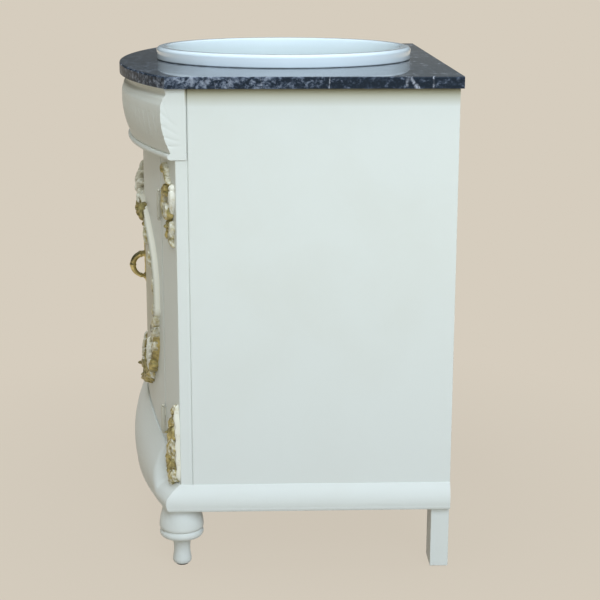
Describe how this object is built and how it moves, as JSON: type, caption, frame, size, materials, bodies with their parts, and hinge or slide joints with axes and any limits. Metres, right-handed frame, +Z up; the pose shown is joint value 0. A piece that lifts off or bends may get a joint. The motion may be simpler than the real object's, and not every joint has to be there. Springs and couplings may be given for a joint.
{
  "type": "vanity unit",
  "caption": "Bow-fronted bathroom vanity cabinet with hinged doors, carved trim, stone top and inset round basin.",
  "frame": {"origin": "on the floor, in the middle of the overall width and depth", "axes": "+Z up, +Y towards the wall, the bowed front faces -Y, +X to the right as seen from the front"},
  "size_m": [0.8, 0.6039, 0.9096],
  "materials": {
    "stone": "polished, black with pale cloudy veins",
    "glaze": "glossy white glaze",
    "cream_paint": "satin cream paint over carved wood, lightly aged in the hollows",
    "gilt": "rubbed gold leaf over cream paint",
    "bare_wood": "sealed pale wood",
    "old_brass": "aged cast brass",
    "brass": "satin brass",
    "steel": "zinc plated",
    "dark_plastic": "matt moulded"
  },
  "bodies": {
    "cabinet": {"counter_top": "stone", "basin": "glaze", "side_panel_right": "cream_paint", "side_panel_left": "cream_paint", "front_post_right": "cream_paint", "front_post_left": "cream_paint", "frieze": "cream_paint", "frieze_bead": "cream_paint", "skirt": "cream_paint", "bottom_rail": "cream_paint", "base_moulding_right": "cream_paint", "base_moulding_left": "cream_paint", "bottom_panel": "bare_wood", "back_panel": "bare_wood", "back_rail": "bare_wood", "shelf": "bare_wood", "shelf_pins": "steel", "corner_blocks": "bare_wood", "rear_leg_right": "cream_paint", "rear_leg_left": "cream_paint", "front_foot_right": "cream_paint", "front_foot_left": "cream_paint", "foot_bolts": "steel", "glides": "dark_plastic", "upper_drop_right": "gilt", "upper_drop_left": "gilt", "lower_drop_right": "gilt", "lower_drop_left": "gilt", "hinge_frame_leaves": "cream_paint", "hinge_pins": "brass", "catch_magnets": "dark_plastic"},
    "right_door": {"door_right": "cream_paint", "scroll_frame_right": "cream_paint", "crest_right": "gilt", "shell_right": "gilt", "pull_plate": "old_brass", "pull": "old_brass", "pull_screws": "steel", "hinge_leaves_right": "cream_paint", "strike_right": "steel"},
    "left_door": {"door_left": "cream_paint", "scroll_frame_left": "cream_paint", "crest_left": "gilt", "shell_left": "gilt", "hinge_leaves_left": "cream_paint", "strike_left": "steel"}
  },
  "joints": [
    {"name": "right_door_hinge", "type": "hinge", "parent": "cabinet", "child": "right_door", "pos_m": [0.309, -0.21677, 0.46], "axis": [0, 0, 1], "range_deg": [0, 105]},
    {"name": "left_door_hinge", "type": "hinge", "parent": "cabinet", "child": "left_door", "pos_m": [-0.309, -0.21677, 0.46], "axis": [0, 0, -1], "range_deg": [0, 105]}
  ]
}
